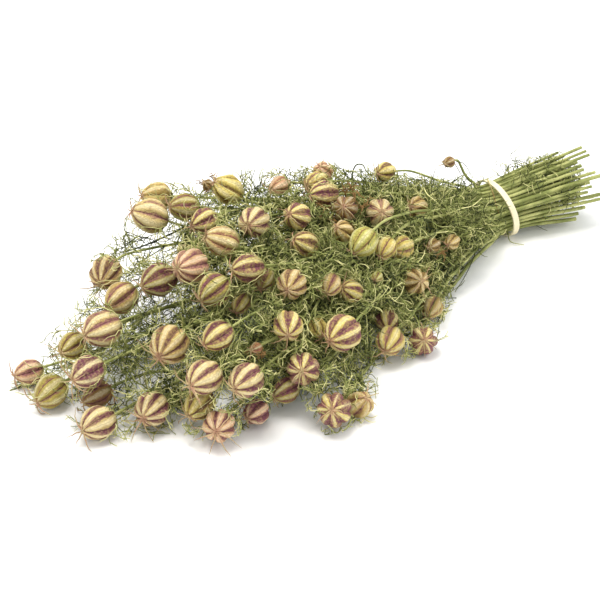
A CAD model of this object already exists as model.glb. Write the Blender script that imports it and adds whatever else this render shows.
# %% [markdown]
# # A tied bunch of dried love-in-a-mist
# The seed heads of love-in-a-mist dry into papery pods, striped in cream and purple, in a
# tangle of leaves as fine as thread. Here a whole bunch lies on its side, with a rubber band
# round the stems.
#
# A solid model of the bunch is already there. This lesson loads it as a fixed frame and puts
# a finer piece in the place of each solid stem.

import math
import random
from collections import namedtuple

import bmesh
import bpy
import numpy as np
from mathutils import Matrix, Vector, noise


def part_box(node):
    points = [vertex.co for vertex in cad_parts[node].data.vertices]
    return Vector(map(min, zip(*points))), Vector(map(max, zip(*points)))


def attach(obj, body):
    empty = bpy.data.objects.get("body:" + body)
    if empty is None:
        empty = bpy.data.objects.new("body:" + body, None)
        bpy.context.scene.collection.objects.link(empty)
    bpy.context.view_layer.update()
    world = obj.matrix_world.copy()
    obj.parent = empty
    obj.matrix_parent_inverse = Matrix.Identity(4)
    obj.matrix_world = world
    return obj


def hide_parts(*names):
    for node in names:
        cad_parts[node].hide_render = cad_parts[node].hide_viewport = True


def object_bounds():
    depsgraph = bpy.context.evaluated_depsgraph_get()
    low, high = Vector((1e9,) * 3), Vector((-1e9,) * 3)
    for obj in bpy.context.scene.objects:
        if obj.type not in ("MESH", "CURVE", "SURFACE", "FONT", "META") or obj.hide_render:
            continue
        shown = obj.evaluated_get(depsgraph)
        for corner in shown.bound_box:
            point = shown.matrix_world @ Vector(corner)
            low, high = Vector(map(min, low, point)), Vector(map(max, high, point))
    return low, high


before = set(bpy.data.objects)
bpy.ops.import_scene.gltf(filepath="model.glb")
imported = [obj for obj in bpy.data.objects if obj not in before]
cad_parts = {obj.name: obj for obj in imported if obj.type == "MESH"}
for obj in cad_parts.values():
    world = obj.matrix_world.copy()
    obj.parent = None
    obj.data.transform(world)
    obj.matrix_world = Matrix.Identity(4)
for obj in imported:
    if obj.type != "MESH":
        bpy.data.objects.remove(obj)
SOLID_LOW, SOLID_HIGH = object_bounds()
MM = 0.001
print("solid parts:", len(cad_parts), "size in mm:",
      [round(side / MM) for side in SOLID_HIGH - SOLID_LOW])

# %% [markdown]
# ## The viewpoint
# The heads were laid out from one viewpoint: each has a place in the view and a height above
# the ground, and the line of sight through that place gives the rest. The same viewpoint is
# the camera, so it comes first. The band's foot is the fixed point of the layout, and the
# solid band says where that is.

# %% Camera
VIEW_AZIMUTH = math.radians(-33)
VIEW_ELEVATION = math.radians(30)
VIEW_DISTANCE = 1.35
VIEW_FOCAL_PX = 1600.0
VIEW_CENTRE_PX = (300.0, 300.0)
VIEW_SIZE_PX = 600.0
BAND_FOOT_PX = (501.0, 232.0)
BAND_WIDTH = 5.5 * MM


def add(name, data):
    """Put a new object in the scene."""
    thing = bpy.data.objects.new(name, data)
    bpy.context.scene.collection.objects.link(thing)
    return thing


def view_axes():
    """Return the view's right, up and backward directions and its position."""
    flat = math.cos(VIEW_ELEVATION)
    back = np.array([math.sin(VIEW_AZIMUTH) * flat, -math.cos(VIEW_AZIMUTH) * flat,
                     math.sin(VIEW_ELEVATION)])
    right = np.array([math.cos(VIEW_AZIMUTH), math.sin(VIEW_AZIMUTH), 0.0])
    up = np.cross(back, right)
    across = (BAND_FOOT_PX[0] - VIEW_CENTRE_PX[0]) / VIEW_FOCAL_PX
    above = (VIEW_CENTRE_PX[1] - BAND_FOOT_PX[1]) / VIEW_FOCAL_PX
    eye = (back - right * across - up * above) * VIEW_DISTANCE
    return right, up, back, eye


RIGHT, UP, BACK, EYE = view_axes()
band_low, band_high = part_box("rubber_band")
FOOT = np.array([band_high.x - BAND_WIDTH / 2, (band_low.y + band_high.y) / 2, band_low.z])

camera = add("Camera", bpy.data.cameras.new("Camera"))
camera.data.sensor_width = 36.0
camera.data.lens = camera.data.sensor_width * VIEW_FOCAL_PX / VIEW_SIZE_PX
axes = Matrix([Vector(RIGHT), Vector(UP), Vector(BACK)]).transposed()
camera.matrix_world = Matrix.Translation(Vector(EYE + FOOT)) @ axes.to_4x4()
bpy.context.scene.camera = camera
print("camera lens in mm:", round(camera.data.lens), "height in mm:", round((EYE + FOOT)[2] / MM))

# %% [markdown]
# ## The seed heads
# Each row is one leafy stem, and a forked stem has two heads. A head has its centre and half
# width in the view, the offset of its apex from its centre, its height above the ground, its
# number of lobes, and whether it faces the viewer. The last word is its colouring: a letter
# for the lobes, a letter for the stripes in the grooves, and how wide the stripes are.

# %% Table of heads
Head = namedtuple("Head", "px py half apex_x apex_y height lobes facing colouring")
STEMS = (
    ((29, 372, 13, -13, 4, 11, 6, 1, "pM4"),),
    ((51, 392, 16.5, -11, 9, 12, 6, 1, "oM2"),),
    ((72, 346, 14, -8, 6, 38, 6, 1, "oL3"),),
    ((88, 372, 16.5, -12, 7, 36, 6, 1, "cP6"),),
    ((102, 329, 18.5, -14, 6, 54, 7, 1, "cM5"),),
    ((98, 423, 17.5, -12, 6, 12, 7, 1, "cP5"), (97, 395, 14, -13, 7, 20, 5, 1, "bM4")),
    ((106, 273, 17, -3, 10, 66, 8, 1, "tL5"),),
    ((121, 298, 16, -12, 10, 50, 6, 1, "tM4"),),
    ((159, 280, 17, -14, 6, 68, 7, 1, "oP6"),),
    ((190, 266, 18, -10, 3, 86, 8, 1, "pM4"),),
    ((169, 345, 20, -7, 10, 56, 8, 1, "tL4"),),
    ((151, 409, 17.5, -6, 7, 16, 8, 1, "cP5"),),
    ((204, 377, 18, -11, 7, 46, 7, 1, "cP5"),),
    ((218, 336, 15, -13, 9, 66, 6, 1, "yP5"),),
    ((246, 380, 17.5, -10, 7, 44, 7, 1, "cP5"),),
    ((199, 404, 16, -9, 10, 22, 6, 1, "yL4"),),
    ((219, 426, 16.5, -2, 4, 12, 7, 1, "pP4"),),
    ((303, 369, 17, -1, 2, 38, 7, 1, "yP9"),),
    ((288, 326, 15.5, 0, 8, 64, 6, 1, "yP5"), (256, 348, 6, -4, 2, 56, 5, 1, "bR4")),
    ((286, 390, 13, -11, 6, 18, 6, 1, "oP5"), (256, 412, 13, -7, 5, 11, 5, 1, "pP6")),
    ((342, 333, 18.5, -11, 7, 48, 7, 1, "yP6"),),
    ((390, 341, 14.5, -5, 9, 14, 6, 1, "yM4"),),
    ((387, 321, 12, 0, 7, 26, 5, 1, "yP6"),),
    ((423, 341, 14.5, 0, -1, 11, 6, 1, "yP9"),),
    ((334, 410, 17.5, -2, -1, 12, 7, 1, "yP8"), (360, 410, 14, 6, -6, 10, 5, 1, "tM3")),
    ((318, 328, 10, 3, 8, 50, 5, 1, "yB2"),),
    ((214, 290, 16, -13, 11, 72, 6, 1, "oP4"),),
    ((248, 268, 15, -14, 2, 84, 6, 1, "yP6"), (264, 280, 12, -3, 8, 70, 5, 1, "oM3")),
    ((150, 216, 17, -17, -5, 82, 6, 1, "cM3"),),
    ((157, 196, 14, -14, 0, 78, 6, 1, "tB2"),),
    ((184, 207, 14, -12, 0, 84, 6, 1, "oM3"),),
    ((204, 221, 13, -10, 5, 84, 6, 1, "yP7"),),
    ((222, 241, 16, -16, -5, 90, 7, 1, "cR3"),),
    ((254, 222, 16, -5, 4, 94, 7, 1, "cP5"),),
    ((228, 190, 15, -13, -7, 90, 6, 1, "yB3"), (208, 185, 6, -3, -2, 86, 5, 1, "bB3")),
    ((280, 186, 10.5, -8, 4, 92, 5, 1, "pR3"),),
    ((292, 284, 15.5, -4, 6, 78, 7, 1, "tL4"),),
    ((297, 216, 14, -7, -1, 92, 6, 1, "yP6"),),
    ((316, 183, 12, -8, 3, 90, 6, 1, "yM3"), (323, 172, 10.5, -3, -4, 92, 5, 1, "pR3")),
    ((324, 194, 13.5, -13, 1, 93, 6, 1, "yP6"),),
    ((345, 208, 13, -2, 0, 90, 6, 1, "bL4"), (343, 232, 12, -6, -4, 76, 5, 1, "tB3")),
    ((380, 212, 14, 1, 1, 82, 6, 1, "cM5"),),
    ((385, 172, 10.5, -7, 2, 82, 5, 1, "yL4"),),
    ((417, 207, 10.5, -6, 0, 68, 5, 1, "tB3"),),
    ((363, 242, 14.5, -11, 13, 78, 6, 1, "gR1"),),
    ((402, 247, 12, -8, 3, 62, 5, 1, "yM2"),),
    ((386, 248, 11, -5, 8, 66, 5, 1, "yM2"),),
    ((305, 244, 13, -10, -4, 82, 6, 1, "yL6"),),
    ((331, 285, 11, -4, 8, 66, 5, 1, "tM3"), (351, 291, 12, -8, -3, 56, 6, 1, "yP4")),
    ((416, 281, 13, 4, 0, 40, 7, 1, "tB5"), (377, 277, 6, -2, 3, 58, 5, 1, "gM2")),
    ((432, 307, 11, -5, 8, 12, 5, 1, "tM2"),),
    ((452, 242, 8, -4, 3, 44, 5, 1, "tB3"), (433, 246, 8, -4, 2, 48, 5, 1, "bB3")),
    ((449, 162, 6, -4, 2, 74, 5, 1, "bL3"),),
    ((241, 303, 10, -5, 8, 56, 5, 1, "yM3"),),
    ((190, 252, 14, -8, -2, 22, 5, -1, "cP5"),),
    ((262, 260, 14, -6, -4, 14, 5, -1, "yM4"),),
    ((322, 222, 13, -6, -3, 14, 5, -1, "cP5"), (362, 222, 12, -3, -4, 13, 5, -1, "tM4")),
)
print("stems:", len(STEMS), "heads:", sum(len(heads) for heads in STEMS))

# %% [markdown]
# ## Pods in place
# A pod's centre is where its line of sight meets its height. The apex stands out from the
# centre in the view, and that gives the direction of the pod's axis. Pods that would touch
# slide apart along their lines of sight, which keeps the view as it was.

# %% Pods
STEM_RADIUS_CUT = 1.6 * MM
STEM_RADIUS_NECK = 1.1 * MM
KNOT_LENGTH = 2.0 * MM
GROUND_GAP = 0.3 * MM
POD_LENGTH = 1.12
POD_FOOT = 0.93
POD_REST = 0.90
POD_GAP = 1.2 * MM
POD_CLEARANCE = 1.08
STEEPEST_LEAN = 0.93
PART_ROUNDS = 60
PART_STEP = 0.4
BUD_HALF_PX = 9
NUDGE = 0.01
TINY = 1e-12


def unit(vector):
    """Return the vector, or each row of vectors, at length one."""
    return vector / np.maximum(np.linalg.norm(vector, axis=-1, keepdims=True), TINY)


def sight_line(px, py):
    """Return the unit direction from the viewpoint through a pixel."""
    line = RIGHT * (px - VIEW_CENTRE_PX[0]) + UP * (VIEW_CENTRE_PX[1] - py)
    return unit(line / VIEW_FOCAL_PX - BACK)


class Pod:
    """A seed pod in place: centre, axis towards its apex, half width and lobes."""

    def __init__(self, head):
        self.line = sight_line(head.px, head.py)
        self.centre = EYE + self.line * ((head.height * MM - EYE[2]) / self.line[2])
        depth = -(self.centre - EYE) @ BACK
        self.radius = head.half * depth / VIEW_FOCAL_PX
        across, below = head.apex_x / head.half, head.apex_y / head.half
        length = math.hypot(across, below)
        shrink = min(1.0, STEEPEST_LEAN / length)
        towards = math.sqrt(1.0 - (length * shrink) ** 2) * head.facing
        self.axis = RIGHT * across * shrink - UP * below * shrink + BACK * towards
        self.lobes, self.facing = head.lobes, head.facing
        self.bud = head.half < BUD_HALF_PX
        self.colouring = head.colouring
        self.rest()

    def rest(self):
        """Keep the pod on the ground, where it has a small flat spot, and its neck above it."""
        neck = self.radius * POD_LENGTH * POD_FOOT + KNOT_LENGTH
        neck_height = self.axis[2] * neck + STEM_RADIUS_NECK + GROUND_GAP
        self.centre[2] = max(self.centre[2], self.radius * POD_REST, neck_height)

    def base(self):
        """Return the point where the stem meets the pod."""
        return self.centre - self.axis * self.radius * POD_LENGTH * POD_FOOT

    def across(self):
        """Return two directions across the pod's axis."""
        side = unit(np.cross(self.axis, np.array([0.0, 0.0, 1.0]) + NUDGE))
        return side, np.cross(self.axis, side)


def part_pods(pods):
    """Slide pods that touch apart along their own lines of sight."""
    for _ in range(PART_ROUNDS):
        for i, one in enumerate(pods):
            for other in pods[:i]:
                need = (one.radius + other.radius) * POD_CLEARANCE + POD_GAP
                between = one.centre - other.centre
                overlap = need - np.linalg.norm(between)
                if overlap > 0:
                    sign = 1.0 if between @ one.line > 0 else -1.0
                    one.centre += one.line * sign * overlap * PART_STEP
                    other.centre -= other.line * sign * overlap * PART_STEP
        for pod in pods:
            pod.rest()


rows = [[Pod(Head(*head)) for head in heads] for heads in STEMS]
pods = [pod for row in rows for pod in row]
part_pods(pods)
print("widest pod in mm:", round(2 * max(pod.radius for pod in pods) / MM, 1))

# %% [markdown]
# ## Places in the band
# The cut stems are packed like rods in a round bundle. Each stem takes the place in the
# bundle that matches its head's place in the fan, so that few stems cross. Swapping two
# stems whenever that shortens the sum of the mismatches finds such an order.

# %% Slots in the band
BAND_RADIUS = 26.0 * MM
BAND_THICKNESS = 1.4 * MM
BAND_FLAT = 1.2 * MM
BAND_LEAN = 0.30
SLOT_PITCH = 5.5 * MM
ROW_SHARE = math.sqrt(0.75)
SLOT_ROWS = 6
WISH_SHARE = 0.45
SWAP_ROUNDS = 12


def band_slots(count):
    """Return the places of the stems inside the band, as (y, z), nearest first."""
    spots = []
    for row in range(-SLOT_ROWS, SLOT_ROWS + 1):
        for column in range(-SLOT_ROWS, SLOT_ROWS + 1):
            y = (column + 0.5 * (row % 2)) * SLOT_PITCH
            spots.append((y, row * SLOT_PITCH * ROW_SHARE))
    spots.sort(key=lambda spot: math.hypot(*spot))
    return np.array(spots[:count]) + np.array([0.0, BAND_RADIUS])


def assign_slots(bases):
    """Give each stem the slot whose place in the band matches its head's in the fan."""
    sideways = np.arctan2(bases[:, 1], -bases[:, 0])
    rise = (bases[:, 2] - BAND_RADIUS) / np.linalg.norm(bases, axis=1)
    wish = np.stack([sideways / sideways.std(), rise / rise.std()], axis=1)
    wish = (wish - wish.mean(axis=0)) * BAND_RADIUS * WISH_SHARE + np.array([0.0, BAND_RADIUS])
    slots = band_slots(len(bases))
    cost = ((wish[:, None, :] - slots[None, :, :]) ** 2).sum(axis=2)
    order = list(range(len(bases)))
    for _ in range(SWAP_ROUNDS):
        for i in range(len(order)):
            for j in range(i):
                now = cost[i, order[i]] + cost[j, order[j]]
                swapped = cost[i, order[j]] + cost[j, order[i]]
                if swapped < now:
                    order[i], order[j] = order[j], order[i]
    return slots[order]


slots = assign_slots(np.array([row[0].base() for row in rows]))
print("bundle across in mm:", round(np.ptp(slots[:, 0]) / MM, 1))

# %% [markdown]
# ## Stem lines
# Each stem runs from its cut end through its place in the band and then in one smooth curve
# to the foot of its pod. A side branch leaves its stem near the tip. The first lines cross
# each other here and there. A stiff stem bends round what is in its way, so all the lines
# are pushed apart a little at a time, and each push is spread along its stem.

# %% Lines of the stems and branches
CUT_REACH = (58.0 * MM, 79.0 * MM)
CUT_SPREAD = 1.42
CUT_DRIFT = -0.17
CUT_LOWEST = 3.0 * MM
SLOT_LOWEST = 4.0 * MM
TIED_RUN = 24.0 * MM
TIED_SHARE = 0.14
LEAD_SHARE = 0.2
TAIL_SHARE = 0.35
TWIG_TAIL_SHARE = 0.45
SHORT_STEM = 150.0 * MM
STEM_POINTS = 7
SHORT_STEM_POINTS = 5
BRANCH_POINTS = 4
BRANCH_FROM_TIP = 3
BRANCH_SPLAY = 0.8
NECK_LENGTH = 34.0 * MM
SEED = 11


class Chain:
    """The centre line of one stem or branch, with its radii and its pod."""

    def __init__(self, points, radii, stem, pod, joint=None):
        self.points = np.array(points)
        self.radii = np.array(radii)
        self.stem, self.pod, self.joint = stem, pod, joint


def bezier(start, lead, tail, end, count):
    """Return count points after the start of a smooth curve."""
    points = []
    for step in range(1, count + 1):
        t = step / count
        s = 1.0 - t
        points.append(start * s ** 3 + lead * 3 * s * s * t + tail * 3 * s * t * t + end * t ** 3)
    return points


def stem_chain(stem, pod, slot, draw):
    """Lay a stem from its cut end through its slot in the band to its pod."""
    y, z = slot
    reach = draw.uniform(*CUT_REACH)
    cut = np.array([reach, y * CUT_SPREAD + reach * CUT_DRIFT,
                    CUT_LOWEST + (z - SLOT_LOWEST) * CUT_SPREAD])
    tied = np.array([-BAND_LEAN * z, y, z])
    base = pod.base()
    length = np.linalg.norm(base - tied)
    straight = np.array([-max(TIED_SHARE * length, TIED_RUN), 0.0, 0.0])
    lead = tied + (base - tied) * LEAD_SHARE + straight
    tail = base - pod.axis * min(NECK_LENGTH, TAIL_SHARE * length)
    count = STEM_POINTS if length > SHORT_STEM else SHORT_STEM_POINTS
    points = [cut, tied] + bezier(tied, lead, tail, base, count)
    radii = np.linspace(STEM_RADIUS_CUT, STEM_RADIUS_NECK, len(points))
    return Chain(points, radii, stem, pod)


def branch_chain(parent, pod):
    """Lay a side branch from a joint near the parent's tip to its own pod."""
    joint = len(parent.points) - BRANCH_FROM_TIP
    start = parent.points[joint]
    base = pod.base()
    length = np.linalg.norm(base - start)
    onward = unit(parent.points[joint + 1] - start)
    way = unit(base - start)
    side = unit(way - onward * (way @ onward))
    lead = start + unit(way + side * BRANCH_SPLAY) * length * TAIL_SHARE
    tail = base - pod.axis * min(NECK_LENGTH, TWIG_TAIL_SHARE * length)
    points = [start] + bezier(start, lead, tail, base, BRANCH_POINTS)
    return Chain(points, np.full(len(points), STEM_RADIUS_NECK), parent.stem, pod, joint)


draw = random.Random(SEED)
stems = [stem_chain(k, row[0], slots[k], draw) for k, row in enumerate(rows)]
twigs = [branch_chain(stems[k], row[1]) for k, row in enumerate(rows) if len(row) > 1]
print("stems:", len(stems), "side branches:", len(twigs))

# %% Bending the lines clear of each other
STEM_GAP = 0.7 * MM
STEM_STEP = 0.7
POD_STEP = 1.3
RELAX_ROUNDS = 320
FIRM_ROUNDS = 80
SMOOTHING = 0.06
POINTS_NEAR_TIP = 3


def nearest_shares(p, p_way, q, q_way):
    """Return the shares along two sets of segments where they come closest."""
    gap = p - q
    a = (p_way * p_way).sum(-1)
    e = (q_way * q_way).sum(-1)
    b = (p_way * q_way).sum(-1)
    c = (p_way * gap).sum(-1)
    f = (q_way * gap).sum(-1)
    s = np.clip((b * f - c * e) / np.maximum(a * e - b * b, TINY), 0.0, 1.0)
    t = np.clip((b * s + f) / np.maximum(e, TINY), 0.0, 1.0)
    s = np.clip((b * t - c) / np.maximum(a, TINY), 0.0, 1.0)
    return s, t


class Tangle:
    """All the centre lines together, bent step by step until none touch."""

    def __init__(self, chains, pods):
        counts = [len(chain.points) for chain in chains]
        self.chains = chains
        self.start = np.concatenate([[0], np.cumsum(counts)])
        self.last = self.start[1:] - 1
        self.spots = np.concatenate([chain.points for chain in chains])
        self.first = self.spots.copy()
        self.radii = np.concatenate([chain.radii for chain in chains])
        self.segments = np.setdiff1d(np.arange(len(self.spots)), self.last)
        owner = np.repeat(np.arange(len(chains)), counts)[self.segments]
        place = self.segments - self.start[owner]
        self.tied = [self.start[k] + 1 for k, chain in enumerate(chains) if chain.joint is None]
        self.forks = [(self.start[k], self.start[chain.stem] + chain.joint)
                      for k, chain in enumerate(chains) if chain.joint]

        stem = np.array([chain.stem for chain in chains])[owner]
        one, two = np.triu_indices(len(self.segments), 1)
        fork = (stem[one] == stem[two]) & ((place[one] == 0) | (place[two] == 0))
        apart = (owner[one] != owner[two]) & ~fork
        self.one, self.two = one[apart], two[apart]

        self.centres = np.array([pod.centre for pod in pods])
        self.sizes = np.array([pod.radius for pod in pods])
        own_pod = np.array([pods.index(chain.pod) for chain in chains])[owner]
        near_tip = place >= np.array(counts)[owner] - POINTS_NEAR_TIP
        self.own = (own_pod[:, None] == np.arange(len(pods))) & near_tip[:, None]

    def add_push(self, segments, shares, moves):
        """Share out moves of points along the segments between the segments' ends."""
        for ends, part in ((self.segments[segments], 1.0 - shares),
                           (self.segments[segments] + 1, shares)):
            np.add.at(self.push, ends, moves * part[:, None])
            np.add.at(self.hits, ends, 1.0)

    def push_stems(self, starts, ways):
        """Push apart the stems that come too close to each other."""
        one, two = self.one, self.two
        s, t = nearest_shares(starts[one], ways[one], starts[two], ways[two])
        apart = starts[one] + ways[one] * s[:, None] - starts[two] - ways[two] * t[:, None]
        far = np.linalg.norm(apart, axis=1)
        need = self.radii[self.segments[one]] + self.radii[self.segments[two]] + STEM_GAP
        close = np.nonzero(far < need)[0]
        short = (need - far)[close] / np.maximum(far[close], TINY)
        moves = apart[close] * short[:, None] * STEM_STEP
        self.add_push(one[close], s[close], moves)
        self.add_push(two[close], t[close], -moves)

    def push_from_pods(self, starts, ways):
        """Push the stems out of the pods."""
        to_pod = self.centres[None] - starts[:, None]
        shares = (to_pod * ways[:, None]).sum(-1) / (ways ** 2).sum(-1)[:, None]
        shares = np.clip(shares, 0.0, 1.0)
        apart = ways[:, None] * shares[:, :, None] - to_pod
        far = np.linalg.norm(apart, axis=2)
        need = self.sizes * POD_CLEARANCE + self.radii[self.segments][:, None] + STEM_GAP
        segment, pod = np.nonzero((far < need) & ~self.own)
        short = (need - far)[segment, pod] / np.maximum(far[segment, pod], TINY)
        moves = apart[segment, pod] * short[:, None] * POD_STEP
        self.add_push(segment, shares[segment, pod], moves)

    def smooth(self, amount):
        """Spread each bend along its stem."""
        shift = self.spots - self.first
        calm = shift.copy()
        calm[1:-1] = 0.5 * shift[1:-1] + 0.25 * (shift[:-2] + shift[2:])
        calm[self.start[:-1]] = shift[self.start[:-1]]
        self.spots = self.first + shift * (1.0 - amount) + calm * amount

    def hold(self):
        """Keep the stems in the band, on the ground and joined to what they meet."""
        tied, spots = self.tied, self.spots
        room = BAND_RADIUS - BAND_THICKNESS - self.radii[tied] - STEM_GAP
        across, above = spots[tied, 1], spots[tied, 2] - BAND_RADIUS
        squeeze = np.minimum(1.0, room / np.maximum(np.hypot(across, above), TINY))
        floor = BAND_FLAT + BAND_THICKNESS + self.radii[tied] + STEM_GAP
        spots[tied, 1] = across * squeeze
        spots[tied, 2] = np.maximum(BAND_RADIUS + above * squeeze, floor)
        spots[tied, 0] = -BAND_LEAN * spots[tied, 2]
        spots[:, 2] = np.maximum(spots[:, 2], self.radii + GROUND_GAP)
        spots[self.last] = self.first[self.last]
        for twig, joint in self.forks:
            spots[twig] = spots[joint]

    def relax(self):
        """Bend the stems clear of each other, of the pods, the band and the ground."""
        for turn in range(RELAX_ROUNDS):
            self.push = np.zeros_like(self.spots)
            self.hits = np.zeros(len(self.spots))
            starts = self.spots[self.segments]
            ways = self.spots[self.segments + 1] - starts
            self.push_stems(starts, ways)
            self.push_from_pods(starts, ways)
            self.spots = self.spots + self.push / np.sqrt(np.maximum(self.hits, 1.0))[:, None]
            if turn < RELAX_ROUNDS - FIRM_ROUNDS:
                self.smooth(SMOOTHING)
            self.hold()
        for k, chain in enumerate(self.chains):
            chain.points = self.spots[self.start[k]:self.start[k + 1]]


Tangle(stems + twigs, pods).relax()
for chain in stems + twigs:
    chain.points = chain.points + FOOT
for pod in pods:
    pod.centre = pod.centre + FOOT
longest = max(np.linalg.norm(np.diff(chain.points, axis=0), axis=1).sum() for chain in stems)
print("longest stem in mm:", round(longest / MM))

# %% [markdown]
# ## Shader maths in plain expressions
# A finish is a network of nodes. Wrapping a socket in a small class that knows + - * ** lets
# the network be written as sums. Colours aren't numbers, so they are mixed by a Mix node.

# %% A finish and its wires
class Wire:
    """A node's output that can be used in sums."""

    def __init__(self, finish, socket):
        self.finish, self.socket = finish, socket

    def maths(self, operation, *values):
        return self.finish.node("ShaderNodeMath", {"operation": operation}, dict(enumerate(values)))

    def __add__(self, other): return self.maths("ADD", self, other)
    def __radd__(self, other): return self.maths("ADD", other, self)
    def __sub__(self, other): return self.maths("SUBTRACT", self, other)
    def __rsub__(self, other): return self.maths("SUBTRACT", other, self)
    def __mul__(self, other): return self.maths("MULTIPLY", self, other)
    def __rmul__(self, other): return self.maths("MULTIPLY", other, self)
    def __pow__(self, other): return self.maths("POWER", self, other)


class Finish:
    """A material in the making: its nodes feed the sockets of one shader."""

    def __init__(self, name, roughness, **constants):
        self.material = bpy.data.materials.new(name)
        self.material.use_nodes = True
        self.tree = self.material.node_tree
        self.shader = self.tree.nodes["Principled BSDF"]
        self.shader.inputs["Roughness"].default_value = roughness
        for socket, value in constants.items():
            self.shader.inputs[socket.replace("_", " ")].default_value = value
        self.place = self.node("ShaderNodeTexCoord", output=3)

    def node(self, kind, settings=None, inputs=None, output=0):
        """Add a node: first its settings, then the values or wires of its sockets."""
        made = self.tree.nodes.new(kind)
        for key, value in (settings or {}).items():
            setattr(made, key, value)
        for key, value in (inputs or {}).items():
            self.feed(made.inputs[key], value)
        return Wire(self, made.outputs[output])

    def feed(self, socket, value):
        """Connect a wire to a socket, or set the socket to a value."""
        if isinstance(value, Wire):
            self.tree.links.new(value.socket, socket)
        else:
            socket.default_value = value

    def mark(self, name, output=2):
        """Read a value that is stored on the piece."""
        return self.node("ShaderNodeAttribute", {"attribute_name": name}, output=output)

    def cloud(self, scale, detail=2.0):
        """Return soft random patches, scale to the metre."""
        inputs = {"Vector": self.place, "Scale": scale, "Detail": detail}
        return self.node("ShaderNodeTexNoise", inputs=inputs)

    def step(self, value, low, high):
        """Rise smoothly from 0 at low to 1 at high."""
        inputs = {"Value": value, "From Min": low, "From Max": high}
        return self.node("ShaderNodeMapRange", {"interpolation_type": "SMOOTHSTEP"}, inputs)

    def blend(self, factor, one, two):
        """Mix two colours."""
        settings = {"data_type": "RGBA"}
        return self.node("ShaderNodeMix", settings, {0: factor, 6: one, 7: two}, output=2)

    def colour(self, value):
        self.feed(self.shader.inputs["Base Color"], value)

    def relief(self, height, distance, strength=1.0):
        """Raise or lower the surface a little in the light."""
        inputs = {"Height": height, "Distance": distance, "Strength": strength}
        self.feed(self.shader.inputs["Normal"], self.node("ShaderNodeBump", inputs=inputs))


def paint(red, green, blue):
    """Return a colour for a shader from the three numbers that a paint program shows."""
    return tuple((part / 255) ** 2.2 for part in (red, green, blue)) + (1.0,)


print("cream in linear light:", [round(part, 2) for part in paint(222, 206, 158)])

# %% [markdown]
# ## Colours of the pods
# The wall of a ripe pod is thin and papery: cream, straw or olive lobes, with a purple stripe
# in each groove between them. The stripe is widest half way up and runs out at both ends, and
# a dark line marks the crease. The colours of a head are stored on its pod as attributes, with
# two numbers for every point: how near it is to a groove and how high it is. One finish can
# then paint all the pods, each in its own way.

# %% Finish of the pods
LOBE_PAINT = {
    "c": paint(228, 202, 144), "y": paint(224, 202, 112), "p": paint(230, 180, 146),
    "t": paint(208, 176, 114), "o": paint(174, 158, 82), "b": paint(142, 106, 68),
    "g": paint(196, 192, 100),
}
STRIPE_PAINT = {
    "P": paint(116, 58, 80), "M": paint(144, 90, 94), "L": paint(110, 68, 66),
    "B": paint(118, 88, 50), "R": paint(166, 106, 88),
}


def pod_finish():
    """Paper-thin walls with a stripe in each groove."""
    finish = Finish("striped_pod_wall", 0.6, Specular_IOR_Level=0.35)
    groove, rise, width = finish.mark("groove"), finish.mark("rise"), finish.mark("stripe_width")
    lobe = finish.mark("lobe_paint", 0)
    stripe = finish.mark("stripe_paint", 0)
    patches, grain = finish.cloud(130.0, 3.0), finish.cloud(480.0, 4.0)
    veins = finish.node("ShaderNodeTexVoronoi", {"feature": "DISTANCE_TO_EDGE"},
                        {"Vector": finish.place, "Scale": 420.0})

    flank = finish.step(groove + (patches - 0.5) * 0.5, 0.15, 0.75)
    wall = finish.blend(flank * 0.5, lobe, paint(172, 152, 74))
    wall = finish.blend((1.0 - finish.step(groove + (grain - 0.5) * 0.7, 0.0, 0.5)) * 0.5, wall,
                        paint(244, 234, 192))
    wall = finish.blend(finish.step(patches, 0.56, 0.74) * 0.5, wall, paint(156, 116, 74))
    wall = finish.blend((1.0 - finish.step(rise, 0.04, 0.34)) * 0.6, wall, paint(128, 128, 62))

    taper = (rise * (1.0 - rise) * 4.0) ** 0.24
    edge = 0.98 - width * taper + (patches - 0.5) * 0.9 + (grain - 0.5) * 0.8
    faint = 0.5 + finish.step(grain + (patches - 0.5) * 0.5, 0.32, 0.6) * 0.45
    inked = finish.blend(finish.step(groove - edge, -0.1, 0.14) * faint, wall, stripe)
    crease = finish.step(groove, 0.88, 1.0)
    inked = finish.blend(crease * 0.6, inked, paint(70, 38, 38))
    seam = 1.0 - finish.step(groove, 0.02, 0.08)
    inked = finish.blend(seam * 0.3, inked, paint(150, 120, 72))
    star = finish.step(rise, 0.965, 0.995)
    inked = finish.blend(star * 0.6, inked, paint(214, 164, 140))
    finish.colour(inked)
    finish.relief(finish.step(veins, 0.0, 0.14) * 0.5 + grain + patches, 0.0012, 0.8)
    return finish.material


POD_WALL = pod_finish()
print("lobe colours:", len(LOBE_PAINT), "stripe colours:", len(STRIPE_PAINT))

# %% [markdown]
# ## Green of the stems and threads
# The dried green isn't even: threads inside the bunch stay darker and greener, and outer ones
# fade to olive and straw. Every thread carries a number from 0 for fresh to 1 for faded.

# %% Finishes of stems, threads and styles
def thread_finish():
    """Thread leaves and bracts, from deep green to straw, and brown where withered."""
    finish = Finish("dried_thread_green", 0.7, Specular_IOR_Level=0.3)
    faded, patches = finish.mark("faded"), finish.cloud(45.0, 2.0)
    amount = faded + (patches - 0.5) * 0.7
    green = finish.blend(finish.step(amount, 0.0, 0.6), paint(46, 54, 29), paint(140, 147, 80))
    straw = finish.blend(finish.step(amount, 0.5, 0.95), green, paint(226, 221, 154))
    finish.colour(finish.blend(finish.step(faded, 1.1, 1.5), straw, paint(142, 108, 66)))
    return finish.material


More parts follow.
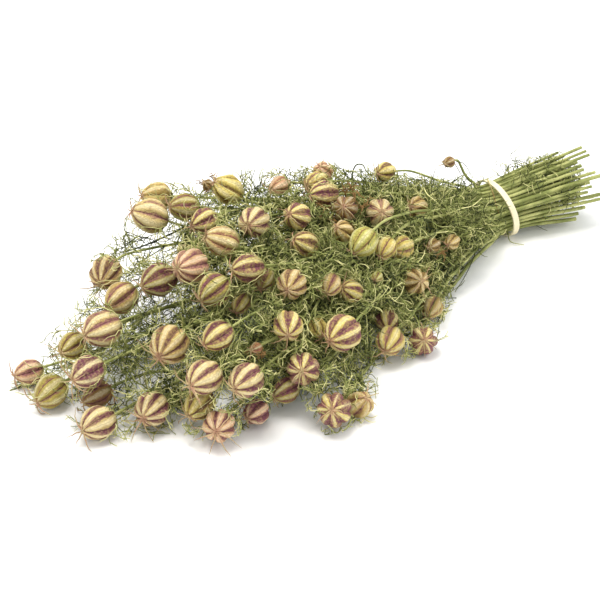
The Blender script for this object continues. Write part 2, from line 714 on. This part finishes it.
def stem_finish():
    """Ribbed stems, yellow-green with darker streaks."""
    finish = Finish("dried_stem_green", 0.6, Specular_IOR_Level=0.35)
    patches, grain = finish.cloud(60.0, 2.0), finish.cloud(900.0, 2.0)
    green = finish.blend(finish.step(patches, 0.35, 0.7), paint(128, 136, 74), paint(182, 184, 116))
    green = finish.blend(finish.step(grain, 0.45, 0.75) * 0.5, green, paint(104, 102, 56))
    finish.colour(green)
    finish.relief(grain, 0.0003, 0.5)
    return finish.material


def style_finish():
    """Dried styles on the pods' apexes, pinkish tan with dark tips."""
    finish = Finish("dried_style", 0.65, Specular_IOR_Level=0.3)
    patches = finish.cloud(160.0, 2.0)
    tan = finish.blend(finish.step(patches, 0.35, 0.65), paint(196, 150, 122),
                       paint(206, 186, 136))
    finish.colour(finish.blend(finish.mark("faded") * 0.7, tan, paint(112, 100, 64)))
    return finish.material


def pith_finish():
    """The pale cut face of a stem, darker in its hollow middle."""
    finish = Finish("cut_stem_pith", 0.8)
    speckle = finish.cloud(1500.0, 2.0)
    finish.colour(finish.blend(speckle, paint(206, 204, 150), paint(226, 220, 180)))
    return finish.material


STEM_GREEN, THREAD_GREEN = stem_finish(), thread_finish()
STYLE_TAN, PITH = style_finish(), pith_finish()
FINISHES = [POD_WALL, STEM_GREEN, THREAD_GREEN, STYLE_TAN, PITH]
print("finishes:", [finish.name for finish in FINISHES])

# %% [markdown]
# ## Threads
# A thread of this plant is half a millimetre thick, and it curls as it dries. It is drawn as
# a path that turns a little at every step. A curve object with a round bevel gives such paths
# their thickness, and is then made a mesh. Thousands of threads need few faces each, so a
# thread has three sides and three to seven steps.

# %% Paths that curl, and forks on them
chance = np.random.default_rng(SEED)


def curl(roots, ways, lengths, steps, bend, wiggle):
    """Return the paths of threads that start at the roots and curl as they grow."""
    lengths = np.broadcast_to(lengths, len(roots))
    hinge = unit(np.cross(ways, chance.normal(size=ways.shape)))
    turn = chance.normal(0.0, bend, len(roots))[:, None]
    points, way = [roots], unit(ways)
    for _ in range(steps):
        way = unit(way + np.cross(hinge, way) * turn + chance.normal(0.0, wiggle, ways.shape))
        points.append(points[-1] + way * (lengths / steps)[:, None])
    return np.stack(points, axis=1)


def forks(paths, first, last, count, splay):
    """Pick count places on each path and return a root and a way out for each."""
    which = np.repeat(np.arange(len(paths)), count)
    place = chance.uniform(first, last, len(which)) * (paths.shape[1] - 1)
    step = np.minimum(place.astype(int), paths.shape[1] - 2)
    share = (place - step)[:, None]
    start, end = paths[which, step], paths[which, step + 1]
    along = unit(end - start)
    aside = unit(np.cross(along, chance.normal(size=along.shape)))
    return start * (1 - share) + end * share, unit(along + aside * splay)


trial = curl(np.zeros((1, 3)), np.array([[1.0, 0.0, 0.0]]), 0.03, 6, 0.2, 0.1)
print("a thread of 30 mm reaches", round(np.linalg.norm(trial[0, -1]) / MM, 1), "mm")

# %% [markdown]
# ## Threads in the way
# On the real bunch the leaves press against the pods and the ground but never pass through
# them. Bending each thread round them would be slow, and there are thousands, so most are
# just left out where they enter a pod or the band. The main threads of the bracts are moved
# out of the pods instead. Most threads that would hide a pod from the viewer, or stray
# outside the outline that the bunch has in the view, are left out as well.

# %% Keeping threads out of the pods and off the ground
THREAD_CLEAR = 0.9 * MM
THREAD_FLOOR = 0.4 * MM
POD_SKIN = 1.06
REACH_OUT = 9.0 * MM
LOWEST = np.array(SOLID_LOW) - REACH_OUT
HIGHEST = np.array(SOLID_HIGH) + REACH_OUT


def above_ground(points):
    """Keep points above the ground and near the solids."""
    points = np.clip(points, LOWEST, HIGHEST)
    points[..., 2] = np.maximum(points[..., 2], THREAD_FLOOR)
    return points


def clear(points):
    """Move points out of the pods and keep them above the ground."""
    points = points.copy()
    for pod in pods:
        arm = points - pod.centre
        far = np.linalg.norm(arm, axis=-1, keepdims=True)
        room = pod.radius * POD_SKIN + THREAD_CLEAR
        points = np.where(far < room, pod.centre + arm / np.maximum(far, TINY) * room, points)
    return above_ground(points)


print("lowest and highest place in mm:", (LOWEST / MM).round(), (HIGHEST / MM).round())

# %% Threads that would hide a pod or stray
OUTLINE_PX = np.array([
    (8, 392), (14, 366), (52, 330), (84, 292), (88, 262), (122, 222), (124, 198), (150, 178),
    (196, 180), (214, 172), (262, 164), (306, 164), (322, 158), (340, 164), (402, 170),
    (440, 176), (486, 170), (492, 158), (526, 154), (562, 150), (588, 168), (584, 208),
    (508, 232), (484, 248), (462, 270), (456, 302), (440, 328), (444, 350), (424, 360),
    (398, 362), (382, 372), (376, 404), (364, 428), (326, 436), (308, 420), (296, 398),
    (268, 424), (240, 440), (220, 450), (196, 438), (160, 436), (112, 448), (76, 440),
    (60, 412), (30, 408)])
STRAY_SHARE = 0.06
HIDING_SHARE = 0.12
FACE = 0.76
POD_INSIDE = 1.04


def in_view(points):
    """Return where points appear in the view, in pixels, and how far back they are."""
    arm = points - (EYE + FOOT)
    depth = -(arm @ BACK)
    return (VIEW_CENTRE_PX[0] + VIEW_FOCAL_PX * (arm @ RIGHT) / depth,
            VIEW_CENTRE_PX[1] - VIEW_FOCAL_PX * (arm @ UP) / depth, depth)


def in_outline(px, py):
    """Tell which places in the view lie inside the outline of the bunch."""
    inside = np.zeros(px.shape, bool)
    for (x0, y0), (x1, y1) in zip(OUTLINE_PX, np.roll(OUTLINE_PX, -1, axis=0)):
        crosses = (y0 > py) != (y1 > py)
        inside ^= crosses & (px < x0 + (py - y0) * (x1 - x0) / (y1 - y0 + TINY))
    return inside


def entering(paths, own=None):
    """Tell which threads enter a pod other than their own."""
    inside = [np.linalg.norm(paths - pod.centre, axis=-1) < pod.radius * POD_INSIDE
              for pod in pods if pod is not own]
    return np.any(inside, axis=(0, 2))


def tidy(paths, hiding=HIDING_SHARE, straying=STRAY_SHARE):
    """Drop threads that enter a pod or the band, and most that hide a pod or stray."""
    px, py, depth = in_view(paths)
    strays = ~in_outline(px, py).all(axis=1)
    enters, hides = entering(paths), np.zeros_like(strays)
    for pod in pods:
        cx, cy, back = in_view(pod.centre)
        face = np.hypot(px - cx, py - cy) < FACE * pod.radius * VIEW_FOCAL_PX / back
        hides |= (face & (depth < back)).any(axis=1) & (pod.facing > 0)
    lean = paths[..., 0] + BAND_LEAN * paths[..., 2] - FOOT[0]
    enters |= (np.abs(lean) < BAND_WIDTH).any(axis=1)
    luck = chance.uniform(size=len(paths))
    return paths[~enters & (~strays | (luck < straying)) & (~hides | (luck < hiding))]


grid = np.meshgrid(np.arange(VIEW_SIZE_PX), np.arange(VIEW_SIZE_PX))
print("share of the view inside the outline:", round(in_outline(*grid).mean(), 2))

# %% Finer threads on threads
Forking = namedtuple("Forking", "first last count splay shortest longest steps bend")
WIGGLE = 0.10
OUTWARD = 0.8


def side_threads(paths, rule, size=1.0, away=None):
    """Grow finer threads out of each path by a rule, and leave out those in the way."""
    roots, ways = forks(paths, rule.first, rule.last, rule.count, rule.splay)
    if away is not None:
        ways = unit(ways + unit(roots - away) * OUTWARD)
    lengths = size * chance.uniform(rule.shortest, rule.longest, len(roots)) * MM
    return tidy(above_ground(curl(roots, ways, lengths, rule.steps, rule.bend, WIGGLE)))


print("a rule for finer threads gives:", ", ".join(Forking._fields))

# %% Threads as a mesh
THREAD_SIDES = 3
FADE_ROOT, FADE_TIP = -0.15, 0.25


def thread_section():
    """Return a small closed curve with three corners, the section of a thread."""
    curve = bpy.data.curves.new("thread_section", "CURVE")
    ring = curve.splines.new("POLY")
    ring.points.add(THREAD_SIDES - 1)
    for k, point in enumerate(ring.points):
        angle = math.tau * k / THREAD_SIDES
        point.co = (math.cos(angle) * MM, math.sin(angle) * MM, 0.0, 1.0)
    ring.use_cyclic_u = True
    return add("thread_section", curve)


SECTION = thread_section()


def tubes(name, bundles, sides=THREAD_SIDES):
    """Make one mesh object of bundles of (paths, radii, finish, faded)."""
    curve = bpy.data.curves.new(name, "CURVE")
    curve.dimensions = "3D"
    if sides == THREAD_SIDES:
        curve.bevel_mode = "OBJECT"
        curve.bevel_object = SECTION
    else:
        curve.bevel_depth = MM
        curve.bevel_resolution = (sides - 4) // 2
        curve.use_fill_caps = True
    for finish in FINISHES:
        curve.materials.append(finish)
    fade = []
    for paths, radii, finish, faded in bundles:
        count = paths.shape[1]
        for path, pale in zip(paths, np.broadcast_to(faded, len(paths))):
            spline = curve.splines.new("POLY")
            spline.points.add(count - 1)
            spline.points.foreach_set("co", np.column_stack([path, np.ones(count)]).ravel())
            spline.points.foreach_set("radius", np.asarray(radii) / MM)
            spline.material_index = FINISHES.index(finish)
            spline.use_smooth = True
            along = np.maximum(pale + np.linspace(FADE_ROOT, FADE_TIP, count), 0.0)
            fade.append(np.repeat(along, sides))
    holder = add(name, curve)
    view = bpy.context.evaluated_depsgraph_get()
    mesh = bpy.data.meshes.new_from_object(holder.evaluated_get(view))
    bpy.data.objects.remove(holder)
    if sides == THREAD_SIDES:
        marks = mesh.attributes.new("faded", "FLOAT", "POINT")
        marks.data.foreach_set("value", np.concatenate(fade))
    return add(name, mesh)


print("sides of a thread:", THREAD_SIDES)

# %% [markdown]
# ## A seed pod
# The pod is a capsule of fused lobes, like a small pumpkin. A sphere with an even number of
# segments for each lobe is drawn out along the axis, and each of its points is moved in
# towards the groove that it is near. The lobes stand up in small beaks round the apex, and
# soft noise dents the wall. What lies on the ground is pressed flat there.

# %% Pods
SEGMENTS_PER_LOBE = 8
POD_ROWS = 18
GROOVE_SHARE = 0.85
CRUMPLE = 0.11
CRUMPLED = 0.2
CRUMPLE_PITCH = 1.7
STRIPE_SPREAD = (0.75, 1.3)
SHOULDER = 0.92
RIDGE_WIDTH = 2.8
TOP_TAPER = 0.14
BEAK_AT, BEAK_WIDTH, BEAK_HEIGHT = 0.24, 0.13, 0.10
APEX_WIDTH, APEX_DEPTH = 0.16, 0.16
CAD_GROOVE = 0.13


def groove_depth(lobes):
    """Return how far a groove lies inside the ridges, as a share of the half width."""
    return (1.0 - (1.0 - CAD_GROOVE) * math.cos(math.pi / lobes)) * GROOVE_SHARE


def pod_form(round_, up, groove, depth):
    """Return how wide and how high a point of the unit sphere comes to lie on a pod."""
    slim = round_ ** SHOULDER * (1.0 - depth * groove ** RIDGE_WIDTH)
    slim = slim * (1.0 - TOP_TAPER * max(up, 0.0) ** 1.5)
    top = up > 0
    beak = math.exp(-((round_ - BEAK_AT) / BEAK_WIDTH) ** 2) * top
    dip = math.exp(-(round_ / APEX_WIDTH) ** 2) * top
    return slim, up * POD_LENGTH + BEAK_HEIGHT * beak * (1.0 - groove) - APEX_DEPTH * dip


def add_pod(bm, pod, marks):
    """Add one pod to a mesh."""
    side, other = pod.across()
    groove_mark, rise_mark, width_mark, lobe_mark, stripe_mark = marks
    lobe, stripe = LOBE_PAINT[pod.colouring[0]], STRIPE_PAINT[pod.colouring[1]]
    widths = int(pod.colouring[2]) / 10 * chance.uniform(*STRIPE_SPREAD, pod.lobes)
    depth = groove_depth(pod.lobes)
    crumple = CRUMPLED if pod.colouring[1] == "B" else CRUMPLE
    made = bmesh.ops.create_uvsphere(bm, u_segments=pod.lobes * SEGMENTS_PER_LOBE,
                                     v_segments=POD_ROWS, radius=1.0)
    for vert in made["verts"]:
        x, y, up = vert.co
        round_ = math.hypot(x, y)
        angle = math.atan2(y, x)
        phase = (angle * pod.lobes / math.tau) % 1.0
        groove = min(phase, 1.0 - phase) * 2.0
        rise = (up + 1.0) / 2.0
        slim, height = pod_form(round_, up, groove, depth)
        spot = Vector((x, y, up)) * CRUMPLE_PITCH + Vector(pod.centre) * 400.0
        dent = 1.0 + crumple * noise.noise(spot)
        arm = side * math.cos(angle) + other * math.sin(angle)
        vert.co = Vector(pod.centre + (arm * slim * dent + pod.axis * height) * pod.radius)
        vert.co.z = max(vert.co.z, 0.0)
        nearest = int(round(angle * pod.lobes / math.tau)) % pod.lobes
        vert[groove_mark], vert[rise_mark], vert[width_mark] = groove, rise, widths[nearest]
        vert[lobe_mark], vert[stripe_mark] = lobe, stripe
    for face in {face for vert in made["verts"] for face in vert.link_faces}:
        face.smooth = True
        face.material_index = FINISHES.index(POD_WALL)


def pod_mesh(name, heads):
    """Make an object of the pods of one stem."""
    bm = bmesh.new()
    marks = [bm.verts.layers.float.new(mark) for mark in ("groove", "rise", "stripe_width")]
    marks += [bm.verts.layers.float_color.new(mark) for mark in ("lobe_paint", "stripe_paint")]
    for pod in heads:
        add_pod(bm, pod, marks)
    bmesh.ops.recalc_face_normals(bm, faces=bm.faces)
    mesh = bpy.data.meshes.new(name)
    bm.to_mesh(mesh)
    bm.free()
    for finish in FINISHES:
        mesh.materials.append(finish)
    return add(name, mesh)


print("groove depth with 6 lobes:", round(groove_depth(6), 2))

# %% [markdown]
# ## Styles and bracts
# Every lobe ends in a dried style, a thin horn that spreads out from the apex and bends. Below
# the pod sit the bracts: leaves cut into threads that curl round it like a loose cage.

# %% Styles
STYLE_REACH = 12.0 * MM
STYLE_RADII = np.array([0.54, 0.54, 0.50, 0.44, 0.36, 0.26, 0.12]) * MM
STYLE_REACHES = (0.55, 1.15)
STYLE_LIFTS = (0.05, 0.6)
STYLE_SWING = 0.25
STYLE_KINK = 0.25 * MM
STYLE_ROOT = 1.02
LONG_STYLES_FROM, LONG_STYLES = -0.17, 1.45
BLOCKED_SHARE = 0.4


def styles(pod):
    """Return the bundle of styles of one pod, spread like a star over the ridges."""
    side, other = pod.across()
    angles = math.tau * (np.arange(pod.lobes) + chance.normal(0.5, 0.05, pod.lobes)) / pod.lobes
    out = side * np.cos(angles)[:, None] + other * np.sin(angles)[:, None]
    around = np.cross(pod.axis, out)
    reach = STYLE_REACH * min(1.0, pod.radius / (10.0 * MM))
    reach = reach * (LONG_STYLES if pod.centre[0] < LONG_STYLES_FROM else 1.0)
    reach = reach * chance.uniform(*STYLE_REACHES, (pod.lobes, 1))
    lift, droop = chance.uniform(*STYLE_LIFTS, (2, pod.lobes, 1))
    swing = chance.normal(0.0, STYLE_SWING, (pod.lobes, 1))
    root = pod.centre + pod.axis * pod.radius * POD_LENGTH * STYLE_ROOT
    points = [root + reach * (out * share + around * swing * share ** 2
                              + pod.axis * (lift * share - droop * share ** 2))
              + out * pod.radius * 0.05
              for share in np.linspace(0.0, 1.0, len(STYLE_RADII))]
    paths = np.stack(points, axis=1)
    paths = paths + chance.normal(0.0, STYLE_KINK, paths.shape)
    blocked = entering(paths, pod)[:, None, None]
    short = paths[:, :1] * (1.0 - BLOCKED_SHARE) + paths * BLOCKED_SHARE
    paths = above_ground(np.where(blocked, short, paths))
    return paths, STYLE_RADII, STYLE_TAN, chance.uniform(0.0, 0.6, pod.lobes)


print("thickest style in mm:", round(2 * STYLE_RADII.max() / MM, 2))


# %% Bracts
BRACTS = 6
BRACT_STEPS = 7
BRACT_JITTER = 0.3
BRACT_SWING = 0.3
BRACT_KINK = 0.05
BRACT_HIDING_SHARE = 0.6
BRACT_SIDES = Forking(0.2, 1.0, 10, 0.8, 6.0, 15.0, 4, 0.55)
BRACT_TIPS = Forking(0.3, 0.8, 1, 0.9, 4.0, 9.0, 3, 0.5)
BRACT_RADII = np.linspace(0.50, 0.22, BRACT_STEPS + 1) * MM
BRACT_FADE = (0.3, 0.85)
BROAD_POD = 11.0 * MM
WITHERED, WITHERED_FADE = "b", 1.2
FINE = np.array([0.34, 0.33, 0.31, 0.27, 0.15]) * MM


def bract_paths(pod):
    """Return the main threads of the bracts, curling from the neck round the pod."""
    side, other = pod.across()
    count = 3 if pod.bud else BRACTS
    jitter = chance.uniform(-BRACT_JITTER, BRACT_JITTER, count)
    angles = math.tau * (np.arange(count) + jitter) / count
    out = side * np.cos(angles)[:, None] + other * np.sin(angles)[:, None]
    around = np.cross(pod.axis, out)
    swing = chance.normal(0.0, BRACT_SWING, (count, 1))
    points = []
    for share in np.linspace(0.0, 1.0, BRACT_STEPS + 1):
        reach = 0.12 + 1.18 * math.sin(min(share * 1.3, 1.0) * math.pi / 2)
        height = -1.08 + 2.0 * share ** 1.3
        lean = out + around * swing * share
        points.append(pod.centre + (lean * reach + pod.axis * height) * pod.radius)
    paths = np.stack(points, axis=1)
    return paths + chance.normal(0.0, BRACT_KINK, paths.shape) * pod.radius


def bracts(pod):
    """Return the bundles of threads that surround one pod."""
    mains = tidy(clear(bract_paths(pod)), BRACT_HIDING_SHARE)
    size = min(1.0, pod.radius / BROAD_POD)
    sides = side_threads(mains, BRACT_SIDES, size, pod.centre)
    tips = side_threads(sides, BRACT_TIPS, size)
    withered = WITHERED_FADE if pod.colouring[0] in WITHERED else 0.0
    return [
        (mains, BRACT_RADII, THREAD_GREEN, withered + chance.uniform(0.6, 1.0, len(mains))),
        (sides, FINE, THREAD_GREEN, withered + chance.uniform(*BRACT_FADE, len(sides))),
        (tips, FINE[:4], THREAD_GREEN, withered + chance.uniform(*BRACT_FADE, len(tips))),
    ]


print("bracts round a pod:", BRACTS, "side threads on each, at most:", BRACT_SIDES.count)

# %% [markdown]
# ## Stems with their thread leaves
# A stem is round and faintly ribbed, and tapers towards its head. All along it, from the band
# on, grow leaves that are cut into threads: a midrib, side threads, and forks on those. They
# stand closer together towards the head.

# %% Smooth lines and leaves
LINE_STEPS = 5
LEAF_PITCH = 7.1 * MM
LEAF_LENGTH = (16.0 * MM, 38.0 * MM)
LEAF_STEPS = 6
LEAF_CROWD = 0.62
LEAF_ALONG = 0.8
LEAF_RADII = np.linspace(0.45, 0.22, LEAF_STEPS + 1) * MM
LEAF_SIDES = Forking(0.1, 0.95, 6, 1.0, 8.0, 20.0, 4, 0.5)
LEAF_TIPS = Forking(0.2, 0.9, 2, 0.9, 6.0, 15.0, 3, 0.6)
MOST_FADED = 0.85


def smooth_line(points, steps=LINE_STEPS):
    """Return a smooth line through the points."""
    padded = np.concatenate([[2 * points[0] - points[1]], points, [2 * points[-1] - points[-2]]])
    line = []
    for a, b, c, d in zip(padded, padded[1:], padded[2:], padded[3:]):
        for t in np.arange(steps) / steps:
            line.append(0.5 * (2 * b + (c - a) * t + (2 * a - 5 * b + 4 * c - d) * t * t
                               + (3 * b - a - 3 * c + d) * t ** 3))
    return np.array(line + [points[-1]])


def places(line, start, end, pitch):
    """Return points and directions along a line, closer together towards its end."""
    lengths = np.linalg.norm(np.diff(line, axis=0), axis=1)
    along = np.concatenate([[0.0], np.cumsum(lengths)])
    span = max(along[-1] - end - start, 0.0)
    marks = start + span * chance.uniform(size=int(span / pitch)) ** LEAF_CROWD
    spots = np.stack([np.interp(marks, along, line[:, k]) for k in range(3)], axis=1)
    ahead = np.stack([np.interp(marks + MM, along, line[:, k]) for k in range(3)], axis=1)
    return spots, unit(ahead - spots)


def leaves(line, start, end=10.0 * MM, pitch=LEAF_PITCH):
    """Return the bundles of threads of the leaves along a line."""
    spots, ways = places(line, start, end, pitch)
    if not len(spots):
        return []
    aside = unit(np.cross(ways, chance.normal(size=ways.shape)))
    lengths = chance.uniform(*LEAF_LENGTH, len(spots))
    ribs = curl(spots, unit(ways * LEAF_ALONG + aside), lengths, LEAF_STEPS, 0.2, 0.12)
    ribs = tidy(above_ground(ribs), straying=0.0)
    sides = side_threads(ribs, LEAF_SIDES)
    tips = side_threads(sides, LEAF_TIPS)
    return [
        (ribs, LEAF_RADII, THREAD_GREEN, MOST_FADED * chance.beta(1.2, 2.0, len(ribs))),
        (sides, FINE, THREAD_GREEN, MOST_FADED * chance.beta(1.2, 1.8, len(sides))),
        (tips, FINE[:4], THREAD_GREEN, MOST_FADED * chance.beta(1.2, 1.6, len(tips))),
    ]


print("leaves on 100 mm of stem:", round(100.0 * MM / LEAF_PITCH))


# %% [markdown]
# ## Loose stalks
# A few bare, broken stalks stick out of the tangle. Each is a row: the stem it goes with, its
# radius in mm, how faded it is, and its points as places in the view and heights in mm.

# %% Loose stalks and broken bits
STALK_TAPER = 0.6
LOOSE = (
    (43, 0.8, 0.1, ((351, 188, 76), (352, 174, 84), (356, 165, 90), (363, 165, 90),
                    (367, 172, 86), (375, 178, 82))),
    (29, 1.0, 0.1, ((188, 226, 76), (170, 234, 70), (150, 243, 66), (134, 249, 64),
                    (122, 252, 63))),
    (52, 0.4, 0.1, ((455, 164, 72), (459, 171, 66), (462, 176, 60), (470, 182, 54))),
    (52, 0.4, 0.1, ((456, 162, 72), (463, 163, 70), (468, 169, 64), (472, 178, 56))),
    (50, 0.5, 0.1, ((482, 234, 16), (477, 248, 11), (472, 262, 7), (464, 278, 4),
                    (455, 292, 3))),
    (51, 0.5, 0.2, ((449, 268, 26), (440, 288, 24), (433, 306, 20), (427, 322, 12))),
    (53, 0.5, 1.4, ((487, 178, 53), (492, 190, 49), (496, 204, 40), (500, 218, 24))),
    (21, 0.6, 0.4, ((506, 224, 14), (508, 235, 5), (511, 242, 2), (524, 245, 1.5))),
    (24, 0.5, 0.1, ((352, 366, 16), (356, 374, 14), (361, 384, 12), (364, 396, 8))),
    (49, 0.6, 0.9, ((383, 286, 58), (388, 294, 54), (395, 301, 50), (404, 304, 44))),
    (49, 0.5, 0.9, ((404, 286, 56), (401, 294, 52), (395, 301, 50))),
    (44, 0.6, 0.9, ((424, 188, 78), (427, 194, 78), (434, 200, 76), (440, 206, 72))),
    (43, 0.6, 0.8, ((448, 214, 66), (460, 209, 64), (472, 206, 60), (482, 198, 58))),
    (42, 0.5, 0.9, ((334, 190, 88), (344, 188, 88), (354, 188, 86), (362, 192, 84))),
    (46, 0.4, 0.4, ((562, 194, 26), (573, 196, 22), (584, 199, 18), (596, 198, 16))),
    (39, 0.4, 0.3, ((560, 192, 34), (571, 190, 34), (583, 187, 32), (594, 188, 30))),
)


def loose_stalks(number):
    """Return the bundles of the bare stalks on one stem, placed as the viewpoint shows them."""
    bundles = []
    for stem, radius, faded, spots in LOOSE:
        if stem != number:
            continue
        points = []
        for px, py, height in spots:
            line = sight_line(px, py)
            points.append(EYE + line * ((height * MM - EYE[2]) / line[2]) + FOOT)
        line = smooth_line(np.array(points))
        radii = np.linspace(radius, radius * STALK_TAPER, len(line)) * MM
        bundles.append((line[None], radii, THREAD_GREEN, faded))
    return bundles


print("loose stalks:", len(LOOSE))


# %% [markdown]
# ## Whole stems
# The pods, the round stem and all its threads are joined into one piece for each stem, as it
# grew. A stem isn't quite straight or even, so soft noise sways it. The noise has a seed, or
# it would start from the clock. Every third stem also has some broken leaf threads on the
# side of the cut ends.

# %% One leafy stem
LEAVES_FROM = 16.0 * MM
TWIG_LEAVES_FROM = 8.0 * MM
CUT_LEAVES = (18.0 * MM, 12.0 * MM, 9.0 * MM)
CUT_LEAVES_EVERY = 3
STEM_THICKNESS = (0.7, 1.05)
STEM_TUBE_SIDES = 8
SWAY = 1.2 * MM
SWAYS_PER_M = 24.0
noise.seed_set(SEED)


def cut_length(line):
    """Return the length of a stem from its cut end to the band."""
    return np.linalg.norm(np.diff(line[:LINE_STEPS + 1], axis=0), axis=1).sum()


def stem_tube(name, chains):
    """Make the round stem and branches."""
    bundles = []
    for chain in chains:
        line = smooth_line(chain.points)
        sway = [noise.noise_vector(Vector(point) * SWAYS_PER_M) for point in line]
        line = line + np.array(sway) * SWAY
        line[:, 2] = np.maximum(line[:, 2], STEM_RADIUS_CUT)
        radii = np.interp(np.linspace(0, 1, len(line)), np.linspace(0, 1, len(chain.radii)),
                          chain.radii)
        radii = radii * chance.uniform(*STEM_THICKNESS)
        bundles.append((line[None], radii, STEM_GREEN, 0.5))
    tube = tubes(name, bundles, STEM_TUBE_SIDES)
    for face in tube.data.polygons:
        if len(face.vertices) == STEM_TUBE_SIDES:
            face.material_index = FINISHES.index(PITH)
    return tube


def join(things, name):
    """Join objects into one piece."""
    with bpy.context.temp_override(active_object=things[0], object=things[0],
                                   selected_editable_objects=things, selected_objects=things):
        bpy.ops.object.join()
    things[0].name = name
    return things[0]


def leafy_stem(number, chains):
    """Make one leafy stem with its heads, in the place of its solid."""
    node = f"leafy_stem_{number + 1:02d}"
    name = f"seed_head_stem_{number + 1:02d}"
    threads = []
    for chain in chains:
        line = smooth_line(chain.points)
        start = cut_length(line) + LEAVES_FROM if chain.joint is None else TWIG_LEAVES_FROM
        threads += leaves(line, start)
        threads += bracts(chain.pod)
        threads.append(styles(chain.pod))
    threads += loose_stalks(number)
    if number % CUT_LEAVES_EVERY == 0:
        line = smooth_line(chains[0].points)[LINE_STEPS + 1::-1]
        threads += leaves(line, *CUT_LEAVES)
    parts = [pod_mesh(name + "_pods", [chain.pod for chain in chains]),
             stem_tube(name + "_tube", chains), tubes(name + "_threads", threads)]
    piece = join(parts, name)
    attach(piece, "root")
    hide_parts(node)
    return piece


families = [[stem] + [twig for twig in twigs if twig.stem == k] for k, stem in enumerate(stems)]
pieces = [leafy_stem(k, family) for k, family in enumerate(families)]
bpy.data.objects.remove(SECTION)
faces = [sum(len(face.vertices) - 2 for face in piece.data.polygons) for piece in pieces]
print("pieces:", len(pieces), "triangles:", sum(faces), "most in one:", max(faces))

# %% [markdown]
# ## The rubber band
# The band is a flat loop of cream natural rubber, pulled tight and leaning back a little. The
# solid band has that form already, so it only gets its finish.

# %% Band
def rubber_finish():
    """Cream natural rubber, matt, a little darker in places."""
    finish = Finish("cream_natural_rubber", 0.55, Specular_IOR_Level=0.4)
    patches, grain = finish.cloud(90.0, 3.0), finish.cloud(1400.0, 2.0)
    cream = finish.blend(finish.step(patches, 0.35, 0.75) * 0.6, paint(236, 226, 192),
                         paint(216, 200, 156))
    finish.colour(cream)
    finish.relief(grain, 0.0001, 0.5)
    return finish.material


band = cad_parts["rubber_band"]
band.data.materials.clear()
band.data.materials.append(rubber_finish())
print("band faces:", len(band.data.polygons))

# %% [markdown]
# ## Floor, light and hand-in
# The bunch lies on a white studio floor under soft light: a bright even surround gives the
# pale shadows, one large lamp above gives the pods their roundness, and a weak one at the side
# of the cut ends lifts the shadow there.

# %% Floor and light
FLOOR_HALF = 6.0
FLOOR_WHITE = (0.96, 0.96, 0.96, 1.0)
FLOOR_DROP = 0.2 * MM
WARM_WHITE = (1.0, 0.97, 0.92)
SKY_WHITE = (0.95, 0.975, 1.0, 1.0)
SKY_STRENGTH = 0.88

scene = bpy.context.scene
scene.view_settings.view_transform = "Standard"


def studio_floor():
    """Make a plain pale floor."""
    bm = bmesh.new()
    bmesh.ops.create_grid(bm, x_segments=1, y_segments=1, size=FLOOR_HALF)
    mesh = bpy.data.meshes.new("studio_floor")
    bm.to_mesh(mesh)
    bm.free()
    finish = Finish("white_paper_floor", 0.9)
    finish.colour(FLOOR_WHITE)
    mesh.materials.append(finish.material)
    floor = add("studio_floor", mesh)
    floor.location.z = -FLOOR_DROP


def lamp(name, place, power, size):
    """Add a large square lamp that faces the bunch."""
    light = bpy.data.lights.new(name, "AREA")
    light.energy, light.size, light.color = power, size, WARM_WHITE
    thing = add(name, light)
    thing.location = place
    thing.rotation_euler = (-Vector(place)).to_track_quat("-Z", "Y").to_euler()


studio_floor()
lamp("key_lamp", (-0.3, 0.12, 1.7), 26.5, 0.8)
lamp("fill_lamp", (0.9, -0.5, 0.7), 4.5, 1.0)
world = bpy.data.worlds.new("studio")
scene.world = world
world.use_nodes = True
sky = world.node_tree.nodes["Background"].inputs
sky["Color"].default_value = SKY_WHITE
sky["Strength"].default_value = SKY_STRENGTH
print("lamps:", [thing.name for thing in scene.objects if thing.type == "LIGHT"])
